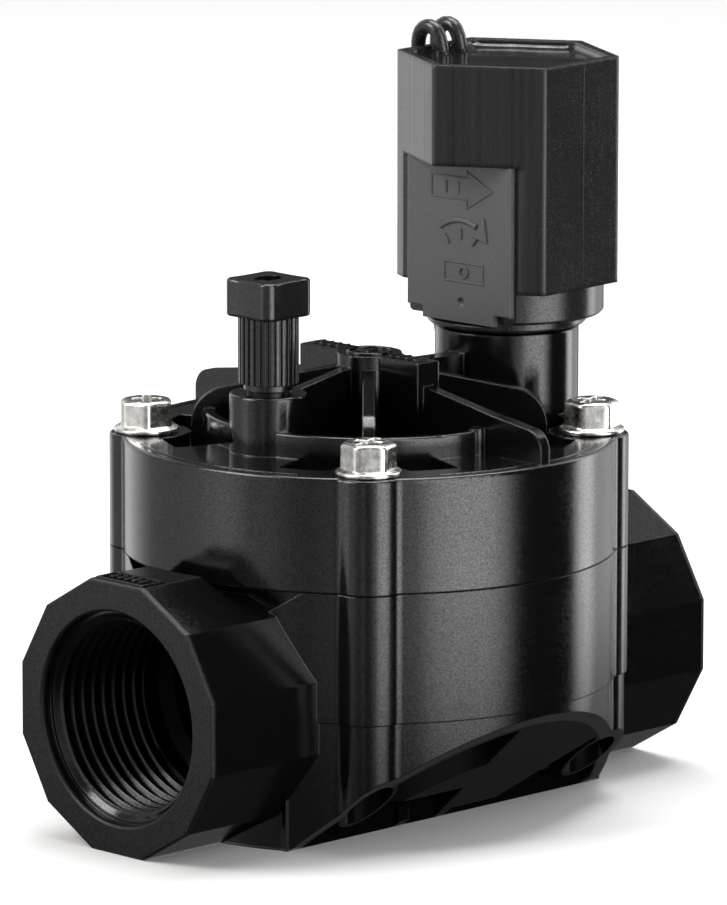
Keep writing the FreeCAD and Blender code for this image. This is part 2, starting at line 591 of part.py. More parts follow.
def make_winding():
    profile = [(5.02, 83.95)]
    steps = 24
    pitch = (108.55 - 83.95) / steps
    for i in range(steps):
        z = 83.95 + i * pitch
        profile += [(7.9, z), (8.25, z + pitch / 2)]
    profile += [(7.9, 108.55), (5.02, 108.55)]
    return turned(profile, SOL_X, 0)


def make_flux_frame():
    """Steel tube and end washers around the coil."""
    return turned([(4.05, 82.05), (8.9, 82.05), (8.9, 111.0), (4.05, 111.0), (4.05, 109.65), (8.65, 109.65),
                   (8.65, 82.85), (4.05, 82.85)], SOL_X, 0)


def make_plunger():
    body = turned([(0, 66.0), (1.8, 66.0), (1.8, 65.2), (2.6, 65.2), (2.6, 66.8), (PLUNGER_R, 67.6), (PLUNGER_R, 90.4),
                   (2.1, 90.4), (2.1, 84.0), (0, 84.0)], SOL_X, 0)
    for angle in (0, 90, 180, 270):
        groove = block(PLUNGER_R - 0.5, PLUNGER_R + 1, -0.5, 0.5, 67.0, 91.0)
        groove.rotate(V(0, 0, 0), UP, angle)
        groove.translate(V(SOL_X, 0, 0))
        body = body.cut(groove)
    return body


def make_plunger_seal():
    return turned([(0, NOZZLE_TOP + 0.05), (2.2, NOZZLE_TOP + 0.05), (2.2, 65.15), (1.75, 65.15), (1.75, 65.95),
                   (0, 65.95)], SOL_X, 0)


def make_plunger_spring():
    return coil_spring(1.6, 0.22, 84.02, 91.98, 7, SOL_X, 0)


# ---------------------------------------------------------------- leads

def lead_start_y(x):
    """Where a lead leaves the potting, a little inside the can's +Y wall."""
    wall_y = (CAN_R - CAN_WALL) * math.cos(math.pi / 6)
    return wall_y - 1.9 + (x - SOL_X) * math.tan(math.radians(CAN_TURN))


def tube_along(points, r):
    """A round tube of straight runs joined by tangent arcs, each as large as its two runs allow."""
    edges = []
    start = points[0]
    for before, at, after in zip(points, points[1:], points[2:]):
        a, b = before - at, after - at
        shorter = min(a.Length, b.Length)
        half_turn = (math.pi - a.getAngle(b)) / 2
        radius = 0.45 * shorter / math.tan(half_turn)
        a.normalize()
        b.normalize()
        reach = 0.45 * shorter
        enter, leave = at + a * reach, at + b * reach
        inward = (a + b).normalize()
        middle = at + inward * (radius / math.cos(half_turn) - radius)
        edges += [Part.LineSegment(start, enter).toShape(), Part.Arc(enter, middle, leave).toShape()]
        start = leave
        print("bend radius", round(radius, 1))
    edges.append(Part.LineSegment(start, points[-1]).toShape())
    path = Part.Wire(edges)
    section = Part.Wire([Part.makeCircle(r, points[0], points[1] - points[0])])
    tube = path.makePipeShell([section], True, False)
    print("tube length", round(path.Length, 1), "volume ratio", round(tube.Volume / (math.pi * r * r * path.Length), 3))
    return tube


def arch_points(x):
    """From the potting over the can's rim to where the lead hangs clear of the turning can."""
    y = lead_start_y(x)
    return [V(x, y, 113.0), V(x, y, 119.8), V(x, y + 5.4, 119.8), V(x + 0.8, y + 5.9, 112.0), V(x + 2.9, 20.4, 105.0),
            V(x + 2.9, 20.4, LEAD_SPLIT_Z)]


def run_points(lead):
    """From under the arch, behind the solenoid and the drum, down to the coil on the floor."""
    x = LEAD_X[lead] + 2.9
    if lead == 0:
        return [V(x, 20.4, LEAD_SPLIT_Z - 0.3), V(x, 20.4, 90.0), V(36.5, 21.8, 77.0), V(41.0, 23.4, 64.0),
                V(44.0, 25.0, 49.0), V(48.0, 26.8, 34.0), V(51.0, 27.8, 20.5), V(50.6, 28.4, 9.5), V(44.6, 29.9, 1.7),
                V(36.4, 31.7, 1.25)]
    return [V(x, 20.4, LEAD_SPLIT_Z - 0.3), V(x, 20.4, 90.0), V(40.5, 22.2, 78.0), V(45.0, 25.5, 65.0),
            V(49.0, 30.2, 51.0), V(53.0, 35.2, 38.0), V(54.0, 38.6, 26.0), V(53.4, 38.6, 16.5), V(48.6, 34.8, 9.2),
            V(42.0, 31.4, 8.45)]


def make_lead_coil(lead):
    """The outer shape of one lead's coil; the second lies on the first."""
    height = 2 * LEAD_R * COIL_ROWS
    return ring(COIL_OUT_R, COIL_IN_R, lead * height, (lead + 1) * height, COIL_X, COIL_Y)


def make_lead_tip(lead):
    """Stripped copper end, lying inside the coil."""
    z = 2.2 + 7.2 * lead
    turn = 40.0 if lead else 215.0
    tip = Part.makeCylinder(TIP_R, TIP_LEN, V(6.6, -TIP_LEN / 2, z), V(0, 1, 0))
    tip.rotate(V(0, 0, 0), UP, turn)
    tip.translate(V(COIL_X, COIL_Y, 0))
    return tip


PARTS = {
    "valve_body": make_body,
    "bonnet": make_bonnet,
    "bonnet_screws": make_screws,
    "diaphragm": make_diaphragm,
    "seat_washer": make_seat_washer,
    "diaphragm_support": make_support,
    "washer_retainer": make_retainer,
    "diaphragm_screw": make_diaphragm_screw,
    "diaphragm_filter": make_filter,
    "diaphragm_spring": make_diaphragm_spring,
    "bleed_screw": make_bleed_screw,
    "bleed_o_ring": lambda: o_ring(2.97, 0.44, 65.0, BLEED_X),
    "solenoid_can": make_can,
    "label_panel": make_panel,
    "solenoid_collar": make_collar,
    "solenoid_o_ring": lambda: o_ring(8.72, 0.58, 66.5, SOL_X),
    "potting": make_potting,
    "core_tube": make_core_tube,
    "pole_piece": make_pole_piece,
    "shading_ring": make_shading_ring,
    "coil_bobbin": make_bobbin,
    "coil_winding": make_winding,
    "flux_frame": make_flux_frame,
    "plunger": make_plunger,
    "plunger_seal": make_plunger_seal,
    "plunger_spring": make_plunger_spring,
}
for lead, letter in enumerate("ab"):
    PARTS["lead_arch_" + letter] = lambda lead=lead: tube_along(arch_points(LEAD_X[lead]), LEAD_R)
    PARTS["lead_run_" + letter] = lambda lead=lead: tube_along(run_points(lead), LEAD_R)
    PARTS["lead_coil_" + letter] = lambda lead=lead: make_lead_coil(lead)
    PARTS["lead_tip_" + letter] = lambda lead=lead: make_lead_tip(lead)

if __name__ == "__main__":
    os.makedirs("parts", exist_ok=True)
    for name, maker in PARTS.items():
        shape = maker()
        print(name, shape.isValid(), len(shape.Solids), round(shape.Volume, 1))
        shape.exportStep("parts/" + name + ".step")
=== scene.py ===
import bmesh
import bpy
import math
from mathutils import Matrix, Vector


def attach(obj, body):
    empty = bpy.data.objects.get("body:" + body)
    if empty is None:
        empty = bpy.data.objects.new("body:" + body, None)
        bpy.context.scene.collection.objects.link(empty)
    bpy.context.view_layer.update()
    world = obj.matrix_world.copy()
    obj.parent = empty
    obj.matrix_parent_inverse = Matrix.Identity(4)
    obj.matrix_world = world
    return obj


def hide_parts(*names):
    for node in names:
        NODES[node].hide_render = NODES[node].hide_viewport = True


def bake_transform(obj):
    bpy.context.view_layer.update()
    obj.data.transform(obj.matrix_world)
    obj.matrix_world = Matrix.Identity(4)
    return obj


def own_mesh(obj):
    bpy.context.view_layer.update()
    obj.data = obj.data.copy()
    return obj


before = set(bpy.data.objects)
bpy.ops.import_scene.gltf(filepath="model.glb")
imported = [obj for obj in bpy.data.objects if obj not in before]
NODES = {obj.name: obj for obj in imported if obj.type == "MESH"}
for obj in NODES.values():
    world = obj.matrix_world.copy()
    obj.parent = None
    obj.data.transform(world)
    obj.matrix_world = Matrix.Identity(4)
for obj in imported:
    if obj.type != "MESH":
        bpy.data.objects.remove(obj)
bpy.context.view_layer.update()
MM = 0.001


# ---------------------------------------------------------------- camera

def make_camera():
    data = bpy.data.cameras.new("camera")
    data.sensor_fit = "AUTO"
    data.sensor_width = 36.0
    data.lens = 341.36
    data.clip_start = 0.05
    data.clip_end = 50.0
    obj = bpy.data.objects.new("camera", data)
    bpy.context.scene.collection.objects.link(obj)
    place = Vector((-0.94509, -0.94926, 0.3195))
    target = Vector((-0.001248, 0.0, 0.056408))
    turn = (target - place).to_track_quat("-Z", "Y").to_matrix()
    roll = Matrix.Rotation(math.radians(0.063), 3, "Z")
    obj.matrix_world = Matrix.Translation(place) @ (turn @ roll).to_4x4()
    bpy.context.scene.camera = obj


make_camera()


# ---------------------------------------------------------------- material helpers

def new_material(name, colour=(0.5, 0.5, 0.5), roughness=0.5, metallic=0.0):
    made = bpy.data.materials.new(name)
    made.use_nodes = True
    made.diffuse_color = (*colour, 1.0)
    shader = made.node_tree.nodes["Principled BSDF"]
    shader.inputs["Base Color"].default_value = (*colour, 1.0)
    shader.inputs["Roughness"].default_value = roughness
    shader.inputs["Metallic"].default_value = metallic
    return made, made.node_tree, shader


def add(tree, kind, settings=None, **inputs):
    """A node with its settings and inputs; an input is a value or another node's output."""
    node = tree.nodes.new(kind)
    for key, value in (settings or {}).items():
        setattr(node, key, value)
    for key, value in inputs.items():
        socket = node.inputs[int(key[1:])] if key[0] == "_" else node.inputs[key.replace("_", " ")]
        if isinstance(value, bpy.types.NodeSocket):
            tree.links.new(value, socket)
        else:
            socket.default_value = value
    return node


def noise(tree, scale, detail=4.0, roughness=0.55, stretch=None):
    """Noise in the row frame, in cycles per metre."""
    place = add(tree, "ShaderNodeTexCoord").outputs["Object"]
    if stretch:
        place = add(tree, "ShaderNodeMapping", Vector=place, Scale=stretch).outputs[0]
    made = add(tree, "ShaderNodeTexNoise", Vector=place, Scale=scale, Detail=detail, Roughness=roughness)
    return made.outputs["Fac"]


def spread(tree, value, low, high, start=0.3, end=0.7):
    """A value from start..end spread over low..high."""
    made = add(tree, "ShaderNodeMapRange", _0=value, _1=start, _2=end, _3=low, _4=high)
    return made.outputs[0]


def mix_colour(tree, factor, a, b):
    made = tree.nodes.new("ShaderNodeMix")
    made.data_type = "RGBA"
    for index, value in ((0, factor), (6, a), (7, b)):
        if isinstance(value, bpy.types.NodeSocket):
            tree.links.new(value, made.inputs[index])
        elif index == 0:
            made.inputs[0].default_value = value
        else:
            made.inputs[index].default_value = (*value, 1.0)
    return made.outputs[2]


def bumped(tree, shader, layers, edge=0.0):
    """Bump layers of (height, depth in metres) on edges rounded by a radius in metres."""
    normal = None
    if edge:
        normal = add(tree, "ShaderNodeBevel", {"samples": 6}, Radius=edge).outputs[0]
    for height, depth in layers:
        extra = {} if normal is None else {"Normal": normal}
        normal = add(tree, "ShaderNodeBump", Height=height, Distance=depth, Strength=1.0, **extra).outputs[0]
    tree.links.new(normal, shader.inputs["Normal"])


def calc(tree, operation, a, b=0.0):
    return add(tree, "ShaderNodeMath", {"operation": operation}, _0=a, _1=b).outputs[0]


# painted shade, in metres: the gloss is dimmed where little light gets, in the flow passages around the port axis and
# in the hollow under the shell
PORT_AXIS_Z = 0.0216
BORE_R, BORE_HALF = 0.01535, 0.036
SHELL_R, SHELL_TOP = 0.0371, 0.0212
PAINTED_SHADE_SHINE = 0.04
PORT_FACE = (0.0545, 0.0549)


def painted_shade_mask(tree, place):
    """Mask for painted shade: 1 in the flow passages and in the hollow under the shell, and 0 elsewhere."""
    x, y, z = add(tree, "ShaderNodeSeparateXYZ", _0=place).outputs
    across = add(tree, "ShaderNodeCombineXYZ", _1=y, _2=z).outputs[0]
    off_axis = add(tree, "ShaderNodeVectorMath", {"operation": "DISTANCE"}, _0=across,
                   _1=(0.0, 0.0, PORT_AXIS_Z)).outputs[1]
    flat = add(tree, "ShaderNodeCombineXYZ", _0=x, _1=y).outputs[0]
    reach = add(tree, "ShaderNodeVectorMath", {"operation": "LENGTH"}, _0=flat).outputs["Value"]
    near_axis = calc(tree, "LESS_THAN", off_axis, BORE_R)
    behind = calc(tree, "LESS_THAN", calc(tree, "ABSOLUTE", x), BORE_HALF)
    within = calc(tree, "LESS_THAN", reach, SHELL_R)
    under = calc(tree, "LESS_THAN", z, SHELL_TOP)
    in_bore = calc(tree, "MULTIPLY", near_axis, behind)
    return calc(tree, "MAXIMUM", in_bore, calc(tree, "MULTIPLY", within, under))


def moulded(name, dark, light, rough, grain=0.0000045, edge=0.0003, mottle=1600.0, face_rough=None, shine=0.5,
             drawn=0.0):
    """Black moulded plastic: mottled colour, speckled gloss, a fine grain, and upright lines of a given depth."""
    made, tree, shader = new_material(name, light)
    cloud = noise(tree, mottle, 6.0, 0.7)
    fine = noise(tree, 6500.0, 3.0, 0.6)
    broad = noise(tree, 95.0, 2.0, 0.5)
    if drawn:
        lines = noise(tree, 1800.0, 4.0, 0.7, (1.0, 1.0, 0.008))
        streaks = [(lines, drawn)]
        shiny = spread(tree, lines, shine * 0.6, shine * 1.4, 0.35, 0.65)
    else:
        streaks = []
        speckle = noise(tree, mottle * 2.0, 3.0, 0.75)
        shiny = spread(tree, speckle, shine * 0.55, shine * 1.45, 0.32, 0.68)
    colour = mix_colour(tree, spread(tree, cloud, 0.0, 1.0), dark, light)
    tree.links.new(colour, shader.inputs["Base Color"])
    gloss = spread(tree, cloud, rough[0], rough[1], 0.32, 0.68)
    wide = spread(tree, broad, -0.02, 0.02, 0.3, 0.7)
    gloss = calc(tree, "ADD", gloss, wide)
    if face_rough is not None:
        place = add(tree, "ShaderNodeTexCoord").outputs["Object"]
        along = add(tree, "ShaderNodeSeparateXYZ", _0=place).outputs["X"]
        at_port = spread(tree, calc(tree, "ABSOLUTE", along), 0.0, 1.0, *PORT_FACE)
        gloss = add(tree, "ShaderNodeMix", _0=at_port, _2=gloss, _3=face_rough).outputs[0]
        # painted shade: the gloss is turned down in the flow passages and under the shell, where little light gets
        shiny = add(tree, "ShaderNodeMix", _0=painted_shade_mask(tree, place), _2=shiny, _3=PAINTED_SHADE_SHINE).outputs[0]
    tree.links.new(shiny, shader.inputs["Specular IOR Level"])
    tree.links.new(gloss, shader.inputs["Roughness"])
    bumped(tree, shader, [(cloud, grain * 2.0), (fine, grain)] + streaks, edge)
    return made


def metal(name, colour, rough, grain=0.000004, edge=0.0002, wear=0.12):
    """Metal with darker patches and a fine grain."""
    made, tree, shader = new_material(name, colour, rough[0], 1.0)
    cloud = noise(tree, 700.0, 6.0, 0.65)
    fine = noise(tree, 4200.0, 3.0, 0.6)
    darker = tuple(c * (1.0 - wear * 3) for c in colour)
    tone = mix_colour(tree, spread(tree, cloud, 0.0, 1.0, 0.35, 0.65), darker, colour)
    tree.links.new(tone, shader.inputs["Base Color"])
    tree.links.new(spread(tree, cloud, rough[0], rough[1]), shader.inputs["Roughness"])
    bumped(tree, shader, [(cloud, grain * 3.0), (fine, grain)], edge)
    return made


BODY = moulded("body_nylon", (0.0012, 0.0012, 0.0013), (0.0034, 0.0034, 0.0035), (0.10, 0.20), face_rough=0.5,
               shine=0.47)
BONNET = moulded("bonnet_nylon", (0.0015, 0.0015, 0.0016), (0.004, 0.004, 0.0041), (0.09, 0.18), edge=0.0004,
                 shine=0.55)
CAN = moulded("can_nylon", (0.007, 0.007, 0.0071), (0.012, 0.012, 0.0122), (0.17, 0.30), 0.0000012, 0.0011, 2600.0,
              drawn=0.000004)
PANEL = moulded("panel_nylon", (0.066, 0.066, 0.0665), (0.084, 0.084, 0.0845), (0.38, 0.52), 0.000003, 0.00015,
                2600.0)
COLLAR = moulded("collar_nylon", (0.008, 0.008, 0.0081), (0.015, 0.015, 0.0152), (0.15, 0.27), 0.0000015)
BLEED = moulded("bleed_nylon", (0.004, 0.004, 0.0041), (0.008, 0.008, 0.0082), (0.16, 0.26), 0.000001, 0.0003,
                1600.0, shine=0.6)
RUBBER = moulded("rubber", (0.008, 0.008, 0.008), (0.016, 0.016, 0.016), (0.5, 0.7), 0.000005, 0.0001)
ACETAL = moulded("acetal", (0.42, 0.42, 0.40), (0.52, 0.52, 0.49), (0.3, 0.45), 0.000003, 0.00015)
RESIN = moulded("resin", (0.004, 0.004, 0.004), (0.008, 0.008, 0.008), (0.06, 0.12), 0.000002, 0.0001, 300.0)
LEAD = moulded("lead_pvc", (0.008, 0.008, 0.0083), (0.014, 0.014, 0.0145), (0.22, 0.32), 0.000003, 0.0)
ZINC = metal("zinc", (0.78, 0.76, 0.72), (0.16, 0.34))
STEEL = metal("steel", (0.60, 0.60, 0.59), (0.18, 0.3))
FRAME = metal("frame_steel", (0.42, 0.42, 0.43), (0.3, 0.45))
COPPER = metal("copper", (0.80, 0.42, 0.26), (0.2, 0.35))

LOOKS = {
    "valve_body": BODY, "bonnet": BONNET, "bonnet_screws": ZINC, "bleed_screw": BLEED,
    "solenoid_can": CAN, "label_panel": PANEL, "solenoid_collar": COLLAR, "potting": RESIN,
    "diaphragm": RUBBER, "seat_washer": RUBBER, "plunger_seal": RUBBER, "bleed_o_ring": RUBBER,
    "solenoid_o_ring": RUBBER, "diaphragm_support": ACETAL, "washer_retainer": ACETAL,
    "diaphragm_filter": ACETAL, "coil_bobbin": ACETAL, "diaphragm_screw": STEEL, "diaphragm_spring": STEEL,
    "core_tube": STEEL, "pole_piece": STEEL, "plunger": STEEL, "plunger_spring": STEEL, "flux_frame": FRAME,
    "shading_ring": COPPER, "coil_winding": COPPER, "lead_tip_a": COPPER, "lead_tip_b": COPPER,
}
for node_name, look in LOOKS.items():
    mesh = NODES[node_name].data
    mesh.materials.clear()
    mesh.materials.append(look)
EDGES = {"solenoid_can": 0.3, "label_panel": 0.2, "solenoid_collar": 0.25, "bleed_screw": 0.3}
for node_name, width in EDGES.items():
    softened = NODES[node_name].modifiers.new("edges", "BEVEL")
    softened.width = width * MM
    softened.segments = 3
    softened.limit_method = "ANGLE"
    softened.angle_limit = math.radians(40)
    softened.harden_normals = True


# ---------------------------------------------------------------- leads

LEAD_D = 2.4 * MM
CAN_R, CAN_WALL, CAN_TURN, SOL_X = 18.15, 1.7, 3.3, 31.3
COIL_CENTRE = (39.2, 45.6)
POINTS_PER_TURN = 16
LEAD_X = (28.6, 33.1)
LEAD_ASIDE = 2.9          # how far to the side of its exit each lead hangs
HANG_Y = 20.4
COIL_HEIGHT = 7.2
RUNS = (
    [(36.5, 21.8, 77.0), (41.0, 23.4, 64.0), (44.0, 25.0, 49.0), (48.0, 26.8, 34.0), (51.0, 27.8, 20.5),
     (50.6, 28.4, 9.5), (44.6, 29.9, 1.7), (36.4, 31.7, 1.25)],
    [(40.5, 22.2, 78.0), (45.0, 25.5, 65.0), (49.0, 30.2, 51.0), (53.0, 35.2, 38.0), (54.0, 38.6, 26.0),
     (53.4, 38.6, 16.5), (48.6, 34.8, 9.2), (42.0, 31.4, 8.45)],
)
TIP_TURN = (215.0, 40.0)


def lead_start_y(x):
    wall_y = (CAN_R - CAN_WALL) * math.cos(math.pi / 6)
    return wall_y - 1.9 + (x - SOL_X) * math.tan(math.radians(CAN_TURN))


def on_coil(angle, r, z):
    a = math.radians(angle)
    return (COIL_CENTRE[0] + r * math.cos(a), COIL_CENTRE[1] + r * math.sin(a), z)


def coil_points(lead):
    """Five turns, clockwise from above: three outside rising by a row, two inside coming down, then in to the tip."""
    base = 1.2 + COIL_HEIGHT * lead
    swell = 1 / math.cos(math.pi / POINTS_PER_TURN)
    rows = [(14.2, 0.0), (14.2, 2.4), (14.2, 4.8), (11.8, 4.8), (11.8, 2.4), (9.4, 2.2)]
    points = []
    step = 360.0 / POINTS_PER_TURN
    for turn in range(5):
        (r0, z0), (r1, z1) = rows[turn], rows[turn + 1]
        for i in range(POINTS_PER_TURN):
            if turn == 0 and i == 0:
                continue
            share = max(0.0, (i - POINTS_PER_TURN + 4) / 4.0)
            share = share * share * (3 - 2 * share)
            r = (r0 + (r1 - r0) * share) * swell
            points.append(on_coil(-96.0 - step * i, r, base + z0 + (z1 - z0) * share))
    return points


def lead_route(lead):
    x, hang = LEAD_X[lead], LEAD_X[lead] + LEAD_ASIDE
    y = lead_start_y(x)
    arch = [(x, y - 0.2, 113.0), (x, y - 0.2, 120.2), (x, y + 5.6, 120.2), (x + 0.8, y + 5.9, 112.0),
            (hang, HANG_Y, 105.0), (hang, HANG_Y, 90.0)]
    tip_z = 2.2 + COIL_HEIGHT * lead
    a = math.radians(TIP_TURN[lead])
    start = Vector((COIL_CENTRE[0], COIL_CENTRE[1], tip_z))
    across, along = Vector((math.cos(a), math.sin(a), 0)), Vector((-math.sin(a), math.cos(a), 0))
    ends = [start + across * 6.6 + along * t for t in (8.5, 4.2)]
    return arch + RUNS[lead] + coil_points(lead) + [tuple(p) for p in ends]


def spline_object(name, points, bevel):
    curve = bpy.data.curves.new(name, "CURVE")
    curve.dimensions = "3D"
    curve.resolution_u = 6
    curve.bevel_depth = bevel
    curve.bevel_resolution = 5
    curve.use_fill_caps = True
    spline = curve.splines.new("NURBS")
    spline.points.add(len(points) - 1)
    for point, place in zip(spline.points, points):
        point.co = (*(c * MM for c in place), 1.0)
    spline.order_u = 3
    spline.use_endpoint_u = True
    obj = bpy.data.objects.new(name, curve)
    bpy.context.scene.collection.objects.link(obj)
    return obj


def as_mesh(obj, name):
    """The object's evaluated mesh as a new object; the first one is removed."""
    depsgraph = bpy.context.evaluated_depsgraph_get()
    mesh = bpy.data.meshes.new_from_object(obj.evaluated_get(depsgraph))
    mesh.transform(obj.matrix_world)
    bpy.data.objects.remove(obj)
    made = bpy.data.objects.new(name, mesh)
    bpy.context.scene.collection.objects.link(made)
    return made


for lead, letter in enumerate("ab"):
    route = lead_route(lead)
    line = as_mesh(spline_object("line", route, 0.0), "line")
    bpy.data.objects.remove(line)
    tube = as_mesh(spline_object("tube", route, LEAD_D / 2), "lead_" + letter)
    tube.data.materials.clear()
    tube.data.materials.append(LEAD)
    for polygon in tube.data.polygons:
        polygon.use_smooth = True
    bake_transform(tube)
    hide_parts(*("lead_" + part + "_" + letter for part in ("arch", "run", "coil")))


# ---------------------------------------------------------------- mesh helpers

SUNK = -0.15


class Plane:
    """A flat face of the object: a place in millimetres by (right, up, out)."""

    def __init__(self, origin, right, up):
        self.origin, self.right, self.up = Vector(origin), Vector(right).normalized(), Vector(up).normalized()
        self.out = self.right.cross(self.up)

    def at(self, u, v, height):
        return self.origin + self.right * u + self.up * v + self.out * height


def offset(points, by, closed):
    """The path moved sideways, to the left for a positive distance, its corners mitred."""
    points = [Vector(p) for p in points]
    moved = []
    for i, p in enumerate(points):
        ways = []
        if closed or i > 0:
            ways.append(p - points[i - 1])
        if closed or i < len(points) - 1:
            ways.append(points[(i + 1) % len(points)] - p)
        sides = [Vector((-w.y, w.x)).normalized() for w in ways]
        mitre = sum(sides, Vector((0.0, 0.0))).normalized()
        moved.append(p + mitre * by / max(0.35, mitre.dot(sides[0])))
    return moved


def raised_line(bm, plane, points, width, height, closed=False):
    """A low bead along a path on the plane, with sloped edges."""
    half, lip = width / 2, min(height * 0.6, width * 0.3)
    section = [(half, SUNK), (half, height - lip), (half - lip, height), (lip - half, height), (-half, height - lip),
               (-half, SUNK)]
    rails = []
    for side, z in section:
        rails.append([bm.verts.new(plane.at(p.x, p.y, z)) for p in offset(points, side, closed)])
    last = len(points) if closed else len(points) - 1
    for i in range(last):
        j = (i + 1) % len(points)
        for a, b in zip(rails, rails[1:] + rails[:1]):
            bm.faces.new((a[i], b[i], b[j], a[j]))
    if not closed:
        bm.faces.new([rail[0] for rail in rails])
        bm.faces.new([rail[-1] for rail in reversed(rails)])


def raised_area(bm, plane, outline, height, lip=0.12):
    """A low flat pad; the outline runs anticlockwise."""
    rings = []
    for inset, z in ((0.0, SUNK), (0.0, height - lip), (lip, height)):
        rings.append([bm.verts.new(plane.at(p.x, p.y, z)) for p in offset(outline, inset, True)])
    count = len(outline)
    for a, b in zip(rings, rings[1:]):
        for i in range(count):
            j = (i + 1) % count
            bm.faces.new((a[i], a[j], b[j], b[i]))
    bm.faces.new(rings[-1])
    bm.faces.new(list(reversed(rings[0])))


def arc(x, y, r, start, end, steps):
    """Points on an arc, its angles in degrees."""
    turns = [math.radians(start + (end - start) * i / steps) for i in range(steps + 1)]
    return [(x + r * math.cos(a), y + r * math.sin(a)) for a in turns]


def rectangle(u0, v0, u1, v1):
    return [(u0, v0), (u1, v0), (u1, v1), (u0, v1)]


def skin(bm, rings, loop=False):
    """Faces between rings of points; a ring of one point is a pole."""
    made = [[bm.verts.new(p) for p in ring] for ring in rings]
    for a, b in zip(made, made[1:] + (made[:1] if loop else [])):
        count = max(len(a), len(b))
        for i in range(count):
            j = (i + 1) % count
            corners = [a[i % len(a)], a[j % len(a)], b[j % len(b)], b[i % len(b)]]
            bm.faces.new(list(dict.fromkeys(corners)))


def turned_rings(profile, steps, x=0.0, y=0.0):
    """Rings of a turned shape from (radius, z) points; radius 0 gives a pole."""
    rings = []
    for r, z in profile:
        if r == 0:
            rings.append([(x, y, z)])
        else:
            turns = [2 * math.pi * i / steps for i in range(steps)]
            rings.append([(x + r * math.cos(a), y + r * math.sin(a), z) for a in turns])
    return rings


def piece(name, bm, look, body=None, sharp=35.0):
    """The mesh as a named object that moves with a body; edges sharper than the angle stay crisp."""
    mesh = bpy.data.meshes.new(name)
    bmesh.ops.recalc_face_normals(bm, faces=bm.faces)
    bmesh.ops.scale(bm, vec=(MM, MM, MM), verts=bm.verts)
    bm.to_mesh(mesh)
    bm.free()
    for polygon in mesh.polygons:
        polygon.use_smooth = True
    mesh.set_sharp_from_angle(angle=math.radians(sharp))
    mesh.materials.append(look)
    obj = bpy.data.objects.new(name, mesh)
    bpy.context.scene.collection.objects.link(obj)
    if body:
        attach(obj, body)
    return obj


def smooth_step(value, start, end):
    share = min(1.0, max(0.0, (value - start) / (end - start)))
    return share * share * (3 - 2 * share)


# ---------------------------------------------------------------- raised marks

PANEL_WAY = math.radians(183.3)
PANEL_AT = 12.0
BAR_TOP = 72.6
DECK_Z = 59.74
PORT_TOP = 43.216


def panel_marks():
    """Generic marks for the quarter turn: an arrow with a stroke, a quarter arc, and a box with a ring."""
    out = Vector((math.cos(PANEL_WAY), math.sin(PANEL_WAY), 0))
    plane = Plane(Vector((SOL_X, 0, 0)) + out * PANEL_AT, (-out.y, out.x, 0), (0, 0, 1))
    bm = bmesh.new()
    arrow = [(-5.6, 95.0), (1.9, 95.0), (1.9, 93.6), (7.2, 96.75), (1.9, 99.6), (1.9, 98.5), (-5.6, 98.5)]
    raised_line(bm, plane, arrow, 0.26, 0.2, True)
    raised_line(bm, plane, [(-2.6, 95.8), (-2.6, 97.7)], 0.55, 0.34)
    raised_line(bm, plane, [(0.0, 95.8), (0.0, 97.7)], 0.55, 0.34)
    raised_line(bm, plane, arc(0.6, 84.6, 7.0, 128.0, 62.0, 14), 0.9, 0.4)
    raised_area(bm, plane, [(3.3, 89.1), (6.3, 88.4), (5.6, 92.4)], 0.4)
    for turn in (128.0, 90.0, 52.0):
        (u0, v0), (u1, v1) = arc(0.6, 84.6, 4.0, turn, turn, 1)[0], arc(0.6, 84.6, 5.6, turn, turn, 1)[0]
        raised_line(bm, plane, [(u0, v0), (u1, v1)], 0.5, 0.36)
    raised_line(bm, plane, rectangle(-2.8, 81.6, 5.3, 84.7), 0.26, 0.2, True)
    raised_line(bm, plane, arc(1.25, 83.15, 0.85, 0.0, 340.0, 17), 0.4, 0.3, True)
    piece("panel_marks", bm, PANEL, "solenoid")


def mould_lines():
    """The fine parting line up the middle of two opposite sides of the can."""
    bm = bmesh.new()
    for angle in (CAN_TURN + 90.0, CAN_TURN + 270.0):
        a = math.radians(angle)
        out = Vector((math.cos(a), math.sin(a), 0))
        flat = CAN_R * math.cos(math.pi / 6)
        plane = Plane(Vector((SOL_X, 0, 0)) + out * flat, (-out.y, out.x, 0), (0, 0, 1))
        raised_line(bm, plane, [(0.3, 81.2), (0.3, 116.6)], 0.28, 0.07)
    piece("can_mould_lines", bm, CAN, "solenoid")


def port_pads():
    """A framed pad with plain bars on the top flat of each port."""
    for side, name in ((-1, "inlet_pad"), (1, "outlet_pad")):
        plane = Plane((side * 52.3, 0, PORT_TOP), (0, side, 0), (-side, 0, 0))
        bm = bmesh.new()
        raised_line(bm, plane, rectangle(-5.0, -2.2, 5.0, 2.2), 0.4, 0.35, True)
        for u in (-3.2, -1.6, 0.0, 1.6, 3.2):
            raised_line(bm, plane, [(u, -1.1), (u, 1.1)], 0.6, 0.45)
        piece(name, bm, BODY, "housing")


def bar_marks():
    """Plain raised strokes and a ring along the top of the bonnet's bar."""
    plane = Plane((0, 0, BAR_TOP), (0, -1, 0), (1, 0, 0))
    bm = bmesh.new()
    for u in (-11.4, -9.6, -7.8, -6.0, 6.0, 7.8, 9.6, 11.4):
        raised_line(bm, plane, [(u - 0.25, -1.3), (u + 0.25, 1.3)], 0.7, 0.35)
    raised_line(bm, plane, arc(0.0, 0.0, 3.4, 0.0, 352.5, 47), 0.5, 0.35, True)
    raised_area(bm, plane, [(-1.3, -1.6), (1.3, -1.6), (0.0, 1.9)], 0.4)
    piece("bar_marks", bm, BONNET, "housing")


